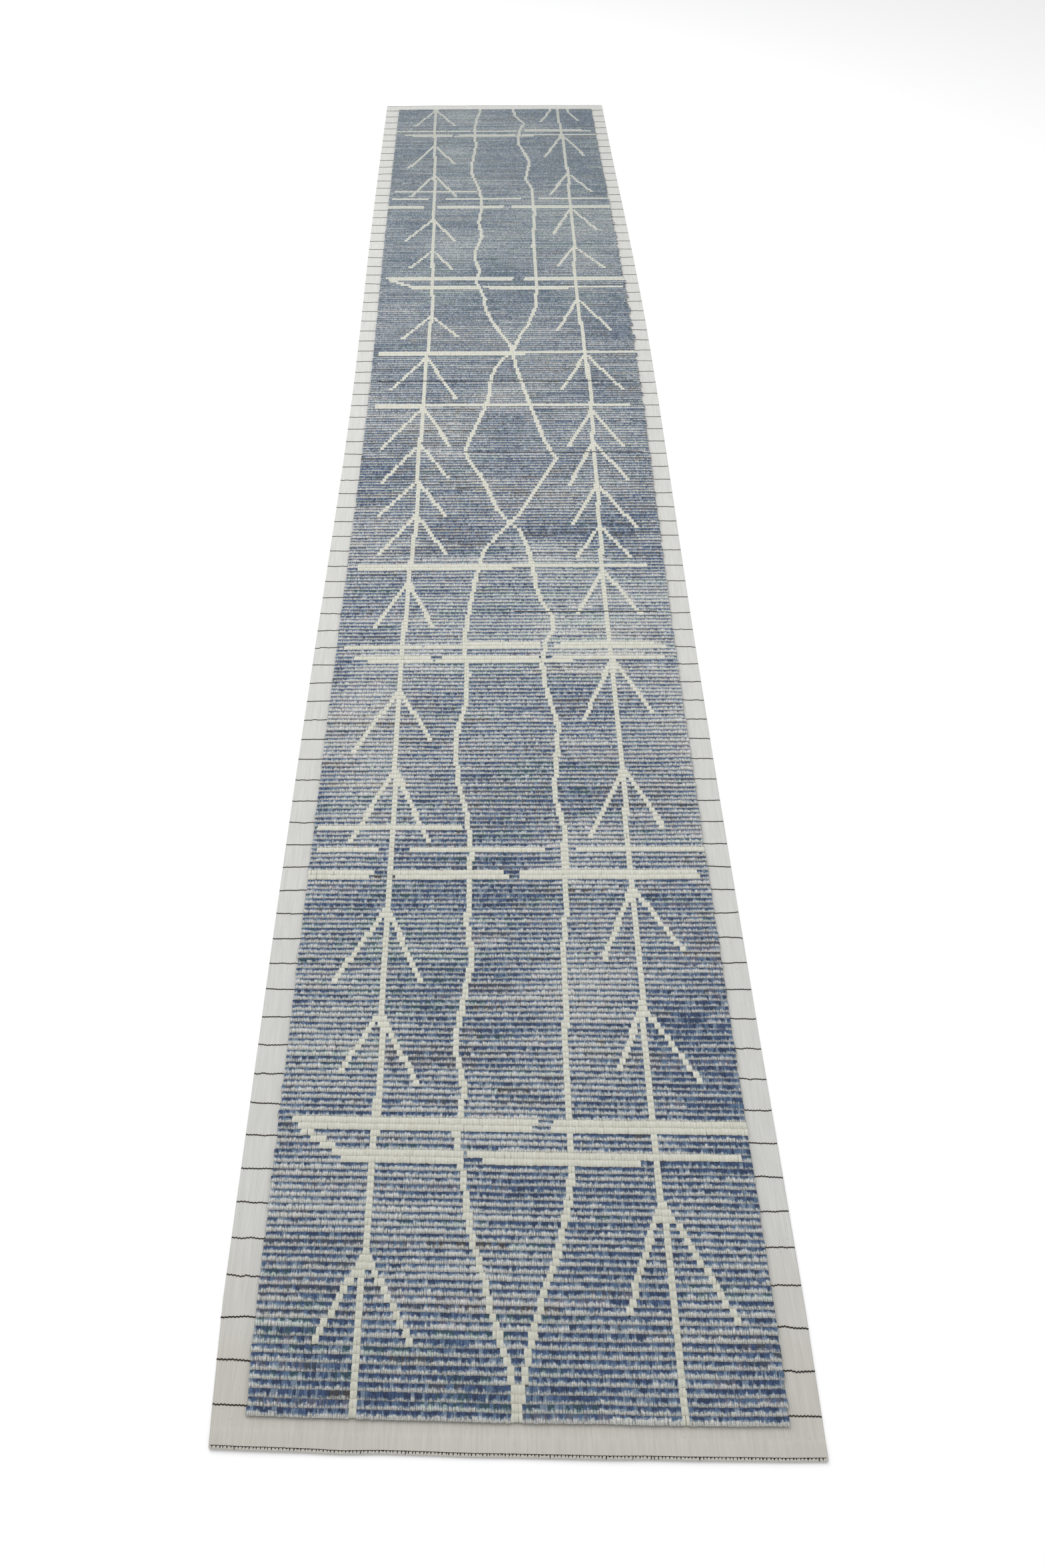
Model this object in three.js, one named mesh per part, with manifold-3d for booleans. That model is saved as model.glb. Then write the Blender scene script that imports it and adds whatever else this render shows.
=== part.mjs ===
// Hand-knotted wool runner rug, in millimetres, +Z up.
// X runs across the rug, +Y along it from the near end to the far end, and the origin is on the
// floor under its centre. A flat-woven ivory ground carries rows of cut pile. The pile field is
// indigo, crossed by an ivory drawing of two branching stems, two wandering lines and several bars.
// The drawing is given in millimetres from the left edge (x) and from the near end (y), and its
// bars in woven rows. It runs through the full depth of the pile, as knots of another yarn do.

import * as THREE from "three";
import { mergeVertices } from "three/addons/utils/BufferGeometryUtils.js";
import Module from "manifold-3d";

const wasm = await Module();
wasm.setup();

// Driving dimensions
const WIDTH = 800;
const LENGTH = 4600;
const GROUND_THICKNESS = 2.4;
const HEM_THICKNESS = 4.0; // the last stretch of each end is turned under and lies double
const HEM_DEPTH = 20;
const HEM_RAMP = 8;
const CLEARANCE = 0.3; // between neighbouring pieces
const PILE_TOP = 9.0;
const IVORY_TOP = 8.8;

// The weave: knots of one width across, rows that open out slightly towards the far end
const KNOT = 4.75;
const KNOTS_ACROSS = 149;
const ROWS = 406;
const FIRST_ROW_TOP = 52;
const ROW_PITCH = 10.5;
const ROW_GROWTH = 0.0015;

// The ivory drawing
const LINE_WIDTH = 2 * KNOT;

// The overcast thread along each hemmed end
const STITCH_BAND = 4.0;
const STITCH_THICKNESS = 0.9;
const STITCH_INSET = 0.6;
const STITCH_SIDE_INSET = 1.5;

const FIELD_WIDTH = KNOTS_ACROSS * KNOT;
const FIELD_LEFT = (WIDTH - FIELD_WIDTH) / 2;
const FIELD_RIGHT = FIELD_LEFT + FIELD_WIDTH;
const FIELD_NEAR = rowTop(-1);
const FIELD_FAR = rowTop(ROWS - 1);
const PILE_BASE = GROUND_THICKNESS + CLEARANCE;

// y of a row's far side; row 0 is nearest the near end
function rowTop(row) {
  return FIRST_ROW_TOP + ROW_PITCH * row + ROW_GROWTH * row * row;
}

// x and y where each long line turns, from the near end to the far end
const LEFT_STEM = [
  [183, 36], [185, 200], [190, 320], [192, 612], [187, 660], [187, 800], [189, 1100],
  [186, 1190], [182, 1275], [183, 1390], [189, 1800], [196, 1940], [198, 2055], [194, 2230],
  [198, 2480], [199, 2720], [207, 3010], [207, 3040], [201, 3262], [197, 3556], [193, 3732],
  [193, 3850], [187, 4100], [180, 4365], [180, 4562],
];
const RIGHT_STEM = [
  [622, 36], [622, 200], [617, 353], [617, 642], [622, 730], [620, 980], [627, 1204],
  [624, 1275], [628, 1480], [624, 1613], [628, 1878], [634, 2113], [635, 2290], [643, 2540],
  [642, 2717], [635, 3070], [637, 3320], [646, 3497], [643, 3850], [649, 3924], [641, 4365],
  [635, 4483], [636, 4562],
];
const LEFT_LINE = [
  [400, 36], [398, 62], [393, 92], [370, 165], [358, 212], [337, 283], [329, 342], [314, 440],
  [327, 507], [314, 571], [313, 618], [321, 659], [337, 755], [328, 833], [334, 992],
  [325, 1080], [308, 1163], [302, 1245], [304, 1292], [320, 1375], [324, 1463], [315, 1560],
  [326, 1672], [340, 1784], [355, 1872], [388, 1937], [420, 1984], [391, 2037], [370, 2113],
  [349, 2184], [323, 2237], [311, 2288], [326, 2358], [352, 2458], [370, 2529], [375, 2611],
  [381, 2658], [399, 2717], [436, 2785], [434, 2811], [411, 2876], [385, 2940], [367, 3011],
  [359, 3060], [363, 3080], [338, 3185], [335, 3215], [346, 3262], [330, 3344], [330, 3391],
  [353, 3510], [342, 3600], [351, 3715], [347, 3830], [330, 3924], [316, 3995], [316, 4054],
  [331, 4230], [325, 4324], [325, 4377], [334, 4483], [348, 4562],
];
const RIGHT_LINE = [
  [400, 36], [404, 62], [408, 80], [426, 154], [441, 201], [467, 271], [485, 348], [489, 442],
  [489, 612], [493, 671], [492, 757], [504, 892], [505, 1051], [493, 1115], [493, 1145],
  [506, 1310], [485, 1422], [480, 1490], [491, 1566], [508, 1610], [508, 1640], [485, 1702],
  [476, 1737], [469, 1819], [458, 1896], [441, 1960], [420, 1984], [447, 2031], [491, 2137],
  [538, 2245], [538, 2262], [517, 2317], [485, 2476], [448, 2688], [441, 2758], [441, 2790],
  [464, 2882], [488, 2941], [510, 3041], [517, 3173], [514, 3438], [524, 3673], [521, 3860],
  [502, 3936], [518, 4089], [502, 4165], [482, 4248], [482, 4300], [493, 4383], [507, 4430],
  [482, 4483], [473, 4518], [470, 4562],
];

// Pairs of branches: where they leave the stem (y), then the tips on its left and its right
const LEFT_BRANCHES = [
  [252, [122, 124], [256, 133]],
  [652, [126, 533], [251, 518]],
  [862, [101, 705], [252, 709]],
  [1194, [110, 1010], [257, 1007]],
  [1416, [100, 1239], [252, 1275]],
  [1766, [122, 1612], [249, 1607]],
  [2020, [117, 1869], [271, 1868]],
  [2156, [104, 2013], [270, 2009]],
  [2318, [105, 2150], [272, 2166]],
  [2492, [98, 2300], [275, 2302]],
  [2752, [108, 2582], [283, 2535]],
  [2986, [126, 2853], [283, 2867]],
  [3404, [128, 3279], [262, 3276]],
  [3630, [107, 3465], [266, 3467]],
  [3974, [111, 3797], [266, 3802]],
  [4228, [97, 4030], [258, 4068]],
  [4562, [106, 4408], [254, 4408]],
];
const RIGHT_BRANCHES = [
  [338, [554, 168], [711, 158]],
  [663, [569, 545], [699, 530]],
  [908, [561, 754], [697, 773]],
  [1196, [552, 1019], [692, 1042]],
  [1508, [555, 1320], [698, 1345]],
  [1810, [560, 1650], [702, 1653]],
  [1973, [573, 1858], [699, 1849]],
  [2144, [569, 1981], [717, 1969]],
  [2327, [564, 2130], [717, 2155]],
  [2480, [573, 2305], [714, 2305]],
  [2768, [569, 2582], [731, 2582]],
  [3088, [569, 2899], [726, 2893]],
  [3430, [585, 3297], [726, 3288]],
  [3706, [581, 3517], [725, 3543]],
  [3986, [579, 3810], [722, 3835]],
  [4328, [572, 4121], [714, 4139]],
  [4640, [570, 4450], [710, 4453]],
];

// Groups of bars: the y of the group's far side, then for each row towards the near end the
// stretches of ivory in it. An empty row is indigo except where a stem or line passes.
const BARS = [
  [467, [
    [[63, 438], [465, 754]], [[75, 433], [460, 754]], [[81, 99]], [[93, 115]], [[110, 131]],
    [[126, 320], [331, 742]], [[142, 320], [353, 592]],
  ]],
  [1050, [
    [[50, 318]], [], [], [], [], [[57, 164], [222, 467], [525, 754]], [], [], [], [],
    [[46, 158], [195, 392], [420, 740]], [[46, 152], [200, 402], [423, 745]],
  ]],
  [1560, [
    [[320, 478], [522, 719]], [[60, 226], [230, 306], [309, 480], [508, 745]], [], [],
    [[84, 247], [269, 475], [503, 739]], [[111, 250], [253, 545]],
  ]],
  [1820, [[[72, 729]], [[72, 423]]]],
  [2512, [[[64, 744]], [[64, 200]]]],
  [2778, [[[59, 754]], [[59, 475]]]],
  [3228, [
    [[60, 452], [482, 754]], [[70, 447], [477, 754]], [[76, 100]], [[92, 118]], [[110, 136]],
    [[130, 342], [355, 754]], [[142, 342], [375, 612]],
  ]],
  [3842, [
    [[60, 338]], [], [], [], [], [[56, 175], [230, 482], [542, 754]], [], [], [], [],
    [[46, 162], [205, 425], [450, 754]], [[46, 160], [207, 420], [452, 754]],
  ]],
  [4370, [
    [[507, 718]], [[46, 221], [229, 314], [318, 480], [507, 750]], [], [],
    [[75, 246], [269, 475], [497, 752]], [[102, 246], [251, 542]],
  ]],
];

// Columns of the indigo field between the stems and lines, by the x of their middles
const COLUMNS = [
  ["left_edge", 118],
  ["left", 262],
  ["centre", 412],
  ["right", 568],
  ["right_edge", 694],
];
const SMALLEST_FIELD = 600; // mm3, below which a sliver between crossing lines is left out

const yarn = {
  ground: new THREE.MeshStandardMaterial({ color: 0xcfcdc3, roughness: 0.95, metalness: 0 }),
  indigo: new THREE.MeshStandardMaterial({ color: 0x6f7f99, roughness: 0.95, metalness: 0 }),
  ivory: new THREE.MeshStandardMaterial({ color: 0xd9d5c4, roughness: 0.95, metalness: 0 }),
  thread: new THREE.MeshStandardMaterial({ color: 0x3a3230, roughness: 0.9, metalness: 0 }),
};

// Extrudes an outline in x and y between two heights.
function prism(outline, low, high) {
  const points = outline.map(([x, y]) => new THREE.Vector2(x - WIDTH / 2, y - LENGTH / 2));
  const shape = new THREE.Shape(points);
  const solid = new THREE.ExtrudeGeometry(shape, { depth: high - low, bevelEnabled: false });
  return solid.translate(0, 0, low);
}

function rectangle(x0, x1, y0, y1) {
  return [[x0, y0], [x1, y0], [x1, y1], [x0, y1]];
}

// A line of knots keeps its width across the rug, whichever way it leans.
function ribbon(path, width) {
  const right = path.map(([x, y]) => [x + width / 2, y]);
  const left = path.map(([x, y]) => [x - width / 2, y]).reverse();
  return [...right, ...left];
}

function toManifold(geometry) {
  geometry.deleteAttribute("normal");
  geometry.deleteAttribute("uv");
  const merged = mergeVertices(geometry, 1e-4);
  const mesh = new wasm.Mesh({
    numProp: 3,
    vertProperties: new Float32Array(merged.attributes.position.array),
    triVerts: new Uint32Array(merged.index.array),
  });
  return new wasm.Manifold(mesh);
}

function toGeometry(solid) {
  const mesh = solid.getMesh();
  const geometry = new THREE.BufferGeometry();
  const positions = new THREE.BufferAttribute(new Float32Array(mesh.vertProperties), 3);
  geometry.setAttribute("position", positions);
  geometry.setIndex(new THREE.BufferAttribute(new Uint32Array(mesh.triVerts), 1));
  geometry.computeVertexNormals();
  return geometry;
}

function named(name, geometry, material) {
  const mesh = new THREE.Mesh(geometry, material.clone());
  mesh.name = name;
  return mesh;
}

// x of a long line at a given y
function lineAt(path, y) {
  const next = path.findIndex((point) => point[1] >= y);
  if (next < 1) {
    return path[next < 0 ? path.length - 1 : 0][0];
  }
  const [x0, y0] = path[next - 1];
  const [x1, y1] = path[next];
  return x0 + ((x1 - x0) * (y - y0)) / (y1 - y0);
}

// The row whose far side lies nearest to y
function rowNear(y) {
  let row = 0;
  while (row < ROWS && rowTop(row) + ROW_PITCH / 2 < y) {
    row += 1;
  }
  return row;
}

// Every outline of the ivory drawing, each made wider by a margin all round.
function drawing(margin) {
  const width = LINE_WIDTH + 3 * margin;
  const outlines = [LEFT_STEM, RIGHT_STEM, LEFT_LINE, RIGHT_LINE].map((path) => ribbon(path, width));
  for (const [stem, pairs] of [[LEFT_STEM, LEFT_BRANCHES], [RIGHT_STEM, RIGHT_BRANCHES]]) {
    for (const [apex, ...tips] of pairs) {
      for (const [x, y] of tips) {
        outlines.push(ribbon([[x, y - margin], [lineAt(stem, apex), apex + margin]], width));
      }
    }
  }
  for (const [top, rows] of BARS) {
    const first = rowNear(top);
    rows.forEach((stretches, i) => {
      const low = rowTop(first - i - 1) - margin;
      const high = rowTop(first - i) + margin;
      for (const [x0, x1] of stretches) {
        outlines.push(rectangle(x0 - margin, x1 + margin, low, high));
      }
    });
  }
  return outlines;
}

function union(outlines, low, high) {
  return outlines
    .map((outline) => toManifold(prism(outline, low, high)))
    .reduce((all, one) => all.add(one));
}

// The flat-woven ground, with its doubled hems, as a side profile carried across the width
function groundWeave() {
  const end = LENGTH / 2;
  const profile = new THREE.Shape([
    new THREE.Vector2(-end, 0),
    new THREE.Vector2(end, 0),
    new THREE.Vector2(end, HEM_THICKNESS),
    new THREE.Vector2(end - HEM_DEPTH, HEM_THICKNESS),
    new THREE.Vector2(end - HEM_DEPTH - HEM_RAMP, GROUND_THICKNESS),
    new THREE.Vector2(-end + HEM_DEPTH + HEM_RAMP, GROUND_THICKNESS),
    new THREE.Vector2(-end + HEM_DEPTH, HEM_THICKNESS),
    new THREE.Vector2(-end, HEM_THICKNESS),
  ]);
  const solid = new THREE.ExtrudeGeometry(profile, { depth: WIDTH, bevelEnabled: false });
  solid.translate(0, 0, -WIDTH / 2);
  solid.rotateX(Math.PI / 2);
  solid.rotateZ(Math.PI / 2);
  return named("ground_weave", solid, yarn.ground);
}

// The dark thread that overcasts one end, as the narrow band that its stitches cover
function overcastThread(name, y) {
  const low = HEM_THICKNESS + CLEARANCE;
  const outline = rectangle(STITCH_SIDE_INSET, WIDTH - STITCH_SIDE_INSET, y, y + STITCH_BAND);
  return named(name, prism(outline, low, low + STITCH_THICKNESS), yarn.thread);
}

function boundsCentre(solid) {
  const { min, max } = solid.boundingBox();
  return [(min[0] + max[0]) / 2 + WIDTH / 2, (min[1] + max[1]) / 2 + LENGTH / 2];
}

// Separate bodies of a solid, from the near end to the far end
function bodies(solid) {
  return solid
    .decompose()
    .filter((body) => body.volume() > SMALLEST_FIELD)
    .sort((a, b) => boundsCentre(a)[1] - boundsCentre(b)[1]);
}

// The ivory pile: one branching body, and the bars that stand clear of it
function ivoryPile() {
  const whole = union(drawing(0), PILE_BASE, IVORY_TOP);
  const field = toManifold(
    prism(rectangle(FIELD_LEFT, FIELD_RIGHT, FIELD_NEAR, FIELD_FAR), 0, 2 * PILE_TOP),
  );
  const parts = bodies(whole.intersect(field)).sort((a, b) => b.volume() - a.volume());
  return parts.map((body, i) =>
    named(i ? `ivory_pile_loose_bar_${i}` : "ivory_pile_drawing", toGeometry(body), yarn.ivory),
  );
}

// The indigo pile: the field less the drawing, which falls into cells between the lines and bars
function indigoPile() {
  const field = toManifold(
    prism(rectangle(FIELD_LEFT, FIELD_RIGHT, FIELD_NEAR, FIELD_FAR), PILE_BASE, PILE_TOP),
  );
  const channels = union(drawing(CLEARANCE), 0, 2 * PILE_TOP);
  const count = {};
  return bodies(field.subtract(channels)).map((body) => {
    const [x] = boundsCentre(body);
    const [column] = COLUMNS.reduce((best, one) =>
      Math.abs(one[1] - x) < Math.abs(best[1] - x) ? one : best,
    );
    count[column] = (count[column] ?? 0) + 1;
    return named(`indigo_pile_${column}_${count[column]}`, toGeometry(body), yarn.indigo);
  });
}

const rug = new THREE.Group();
rug.add(groundWeave());
rug.add(overcastThread("overcast_thread_near", STITCH_INSET));
rug.add(overcastThread("overcast_thread_far", LENGTH - STITCH_INSET - STITCH_BAND));
rug.add(...ivoryPile());
rug.add(...indigoPile());

export default rug;
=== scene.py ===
"""The look of the hand-knotted runner rug: every knot, weft line and end stitch as its own geometry.

Lengths are in metres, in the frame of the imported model: X across the rug, Y along it from the near
end to the far end, Z up. What the weave repeats is worked out straight and even first, and lie()
then lays it down with a small bow, slant and waves, roughly as the real rug lies.
"""

import math

import bpy
import numpy as np
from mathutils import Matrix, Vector
from mathutils.bvhtree import BVHTree


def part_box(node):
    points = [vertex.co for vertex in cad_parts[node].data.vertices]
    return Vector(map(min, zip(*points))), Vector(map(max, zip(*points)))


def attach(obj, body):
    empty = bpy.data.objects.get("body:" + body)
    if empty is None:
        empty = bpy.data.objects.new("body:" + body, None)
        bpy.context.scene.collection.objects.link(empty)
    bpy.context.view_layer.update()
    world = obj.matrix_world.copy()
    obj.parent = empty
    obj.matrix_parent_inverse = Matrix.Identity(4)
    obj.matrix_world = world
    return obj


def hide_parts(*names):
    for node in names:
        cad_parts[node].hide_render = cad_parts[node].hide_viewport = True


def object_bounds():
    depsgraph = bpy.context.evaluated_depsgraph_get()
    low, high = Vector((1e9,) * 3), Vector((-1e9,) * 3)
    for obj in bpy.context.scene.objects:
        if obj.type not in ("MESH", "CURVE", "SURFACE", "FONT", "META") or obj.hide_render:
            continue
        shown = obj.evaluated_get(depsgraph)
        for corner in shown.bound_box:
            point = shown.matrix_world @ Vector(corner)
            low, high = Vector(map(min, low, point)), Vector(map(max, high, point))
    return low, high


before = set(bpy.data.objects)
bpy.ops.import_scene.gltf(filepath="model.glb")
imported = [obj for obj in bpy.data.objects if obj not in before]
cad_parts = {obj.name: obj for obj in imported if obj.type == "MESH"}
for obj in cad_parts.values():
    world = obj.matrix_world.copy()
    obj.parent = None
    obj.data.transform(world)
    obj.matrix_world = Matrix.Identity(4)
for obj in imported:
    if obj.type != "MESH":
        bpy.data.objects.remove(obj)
cad_low, cad_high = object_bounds()

MM = 0.001
RNG = np.random.default_rng(20)

# The sheet and the weave
WIDTH = cad_high.x - cad_low.x
LENGTH = cad_high.y - cad_low.y
GROUND_TOP = 2.4 * MM
HEM_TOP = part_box("ground_weave")[1].z
HEM_DEPTH = 20 * MM
HEM_RAMP = 8 * MM
RIB_PITCH = 2.9 * MM
RIB_HEIGHT = 0.5 * MM
CORNER_RADIUS = 4 * MM

# The threads: the dark wefts, and the line and the stitches of the overcasting
WEFT_RADIUS = 1.12 * MM
WEFT_CROOK = 0.6 * MM
FOLD_LINE = 4.4 * MM  # how far inside the end the overcasting's line of thread runs
FOLD_LINE_RADIUS = 0.45 * MM
FOLD_LINE_STEP = 1.35 * MM
STITCH_SPACING = 4.8 * MM
STITCH_REACHES = [2.7, 3.2, 4.2]  # mm towards the end, and how common each is
STITCH_REACH_SHARES = [0.45, 0.5, 0.05]

# The pile
KNOTS_ACROSS = 149
ROWS = 406
ROW_SPREAD = 0.0548  # how much of the length the rows' slow widening takes up
ROWS_PER_WEFT = 5
STRANDS = 4
STRAND_WIDTH = 2.9 * MM
SAME_BATH = 0.88  # the share of strands that take their knot's own dye bath
IVORY_HALF_WIDTH = 2.8 * MM
IVORY_THICKNESS = 1.5 * MM
CREST = 8.0 * MM
TIP_HEIGHT = 6.7 * MM
MOST_FACES = 195000  # the most faces in one piece; in one piece, so that its STL is kept whole

PILE_NODES = [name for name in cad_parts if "pile" in name]
pile_boxes = [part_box(name) for name in PILE_NODES]
FIELD_LEFT = min(low.x for low, _ in pile_boxes)
FIELD_RIGHT = max(high.x for _, high in pile_boxes)
FIELD_NEAR = min(low.y for low, _ in pile_boxes)
FIELD_FAR = max(high.y for _, high in pile_boxes)
KNOT = (FIELD_RIGHT - FIELD_LEFT) / KNOTS_ACROSS

# The camera, fitted to the rug's four corners in the photo, with the rug's size taken as given
CAMERA_AT = Vector((-0.0572, -2.7164, 1.7604))
CAMERA_TURN = (41.827, 0.191, 0.546)  # degrees
CAMERA_LENS = 28.21
CAMERA_SHIFT = 0.0364
# How far the pile stands over the wefts, at whose height the CAD drawing was read from the photo
PILE_OVER_WEFTS = 4.5 * MM

# The name under which the yarn's map of dye depth and length is kept
YARN_MAP = "OFBake"
RIB_SHARE = 0.49  # how much of that map's width the top of the sheet takes, and its underside again


# ---------------------------------------------------------------- how the rug lies


def ease(t):
    """A smooth step from 0 to 1 as t goes from 0 to 1."""
    t = np.clip(t, 0, 1)
    return t * t * (3 - 2 * t)


def smooth_field(nx, ny, seed):
    """A soft random field over the rug, as a function of x and y, with values around 0."""
    grid = np.random.default_rng(seed).normal(size=(ny + 3, nx + 3))

    def at(x, y):
        u = np.clip((x / WIDTH + 0.5) * nx, 0, nx - 1e-6)
        v = np.clip((y / LENGTH + 0.5) * ny, 0, ny - 1e-6)
        i, j = u.astype(int), v.astype(int)
        fu, fv = ease(u - i), ease(v - j)
        low = grid[j, i] * (1 - fu) + grid[j, i + 1] * fu
        high = grid[j + 1, i] * (1 - fu) + grid[j + 1, i + 1] * fu
        return low * (1 - fv) + high * fv

    return at


# The CAD rug is straight and even, and a real one lies a little bowed and was beaten down unevenly.
# These round values say how. Distances along the rug are in metres from its near end.

# The bow: where each side swells to the right and over what reach, how far its edge and its row of
# last knots stand out to the right along the rug, and how much the swell adds to that
LEFT_SWELL = (2.45, 0.9)
RIGHT_SWELL = (2.95, 1.2)
LEFT_EDGE = (-8 * MM, 13 * MM)
PILE_LEFT = (-4 * MM, 10 * MM)
PILE_RIGHT = (4 * MM, 23 * MM)
RIGHT_EDGE = (3 * MM, 23 * MM)
STRAIGHT_END = 0.15  # the bow grows from nothing over this first stretch
BOW_IN = 80 * MM  # how far inside the pile's sides the bow has died out

# The rows: how far out the near edge lies, then each stretch that was beaten down looser (+) or
# tighter (-): how far along it puts the rest of the rug, where it starts and where it stops
NEAR_EDGE_OUT = 5 * MM
LOOSE_STRETCHES = [(13 * MM, 0, 0.25), (-11 * MM, 0.65, 1.1), (20 * MM, 1.5, 2.9), (-9 * MM, 4.15, 4.6)]
SLANT = 8 * MM  # a row's right end lies nearer than its left end by this, and later further along
SLANT_TURNS = (0.4, 0.8)
SAG = 3 * MM  # of the middle of the near edge
SAG_REACH = 0.3
ripple = smooth_field(14, 80, 2)
lift = smooth_field(3, 16, 3)


def bow_at(y):
    """How far right the left edge, the pile's two sides and the right edge stand at y."""
    from_near = y + LENGTH / 2
    started = np.clip(from_near / STRAIGHT_END, 0, 1)
    left, right = (
        np.exp(-(((from_near - middle) / reach) ** 2)) for middle, reach in (LEFT_SWELL, RIGHT_SWELL)
    )
    sides = ((LEFT_EDGE, left), (PILE_LEFT, left), (PILE_RIGHT, right), (RIGHT_EDGE, right))
    return [started * (out + swell * share) for (out, swell), share in sides]


def wave_at(x, y):
    """How far a point of the straight rug moves along the rug."""
    from_near = y + LENGTH / 2
    moved = 0 * x - NEAR_EDGE_OUT
    for amount, start, stop in LOOSE_STRETCHES:
        moved = moved + amount * ease((from_near - start) / (stop - start))
    turned = ease((from_near - SLANT_TURNS[0]) / (SLANT_TURNS[1] - SLANT_TURNS[0]))
    moved = moved + SLANT * (2 * turned - 1) * x / WIDTH
    near = ease(1 - from_near / SAG_REACH)
    moved = moved - SAG * near * np.cos(math.pi * x / WIDTH)
    return moved + 0.4 * MM * ripple(x, y)


def drawn_beyond(y):
    """How much further along than the pile the CAD drawing is, because of the camera's slope."""
    return PILE_OVER_WEFTS * (y - CAMERA_AT.y) / CAMERA_AT.z


def lie(points, spare=None):
    """Points of the straight, even weave, moved to where the real one lies on the floor.

    For points of the pile, spare is the width of the knots that their row has more than a straight
    row, which have already taken up that much of the bow.
    """
    x, y, z = points.T
    left_edge, pile_left, pile_right, right_edge = bow_at(y)
    inner_left = ease((FIELD_LEFT + BOW_IN - x) / BOW_IN)
    inner_right = ease((x - FIELD_RIGHT + BOW_IN) / BOW_IN)
    if spare is None:
        margin = WIDTH / 2 - FIELD_RIGHT
        outer_left = np.clip((FIELD_LEFT - x) / margin, 0, 1)
        outer_right = np.clip((x - FIELD_RIGHT) / margin, 0, 1)
        dx = pile_left * inner_left + (left_edge - pile_left) * outer_left
        dx = dx + pile_right * inner_right + (right_edge - pile_right) * outer_right
    else:
        dx = pile_left * inner_left + (pile_right - spare) * inner_right
    dz = 0.5 * MM * np.clip(lift(x, y) + 1, 0, 2)
    return np.stack([x + dx, y + wave_at(x, y), z + dz], axis=1)


# ---------------------------------------------------------------- mesh and material helpers


def add_piece(name, points, faces, material, uv=None):
    """A smooth mesh object that rides on the rug. faces is an array of triangles or of quads."""
    mesh = bpy.data.meshes.new(name)
    mesh.vertices.add(len(points))
    mesh.vertices.foreach_set("co", np.asarray(points, np.float32).ravel())
    sides = faces.shape[1]
    loops = faces.astype(np.int32).ravel()
    mesh.loops.add(len(loops))
    mesh.loops.foreach_set("vertex_index", loops)
    mesh.polygons.add(len(faces))
    mesh.polygons.foreach_set("loop_start", np.arange(len(faces), dtype=np.int32) * sides)
    mesh.polygons.foreach_set("use_smooth", np.ones(len(faces), bool))
    if uv is not None:
        layer = mesh.uv_layers.new(name=YARN_MAP)
        layer.data.foreach_set("uv", np.asarray(uv, np.float32)[loops].ravel())
    mesh.update(calc_edges=True)
    mesh.materials.append(material)
    piece = bpy.data.objects.new(name, mesh)
    bpy.context.scene.collection.objects.link(piece)
    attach(piece, "root")
    return piece


def repeat(points, faces, uv, count):
    """Offsets one unit's faces for count units whose points and uvs are already stacked."""
    size = points.shape[1]
    steps = np.arange(count)[:, None, None] * size
    return points.reshape(-1, 3), (faces[None] + steps).reshape(-1, faces.shape[1]), uv.reshape(-1, 2)


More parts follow.
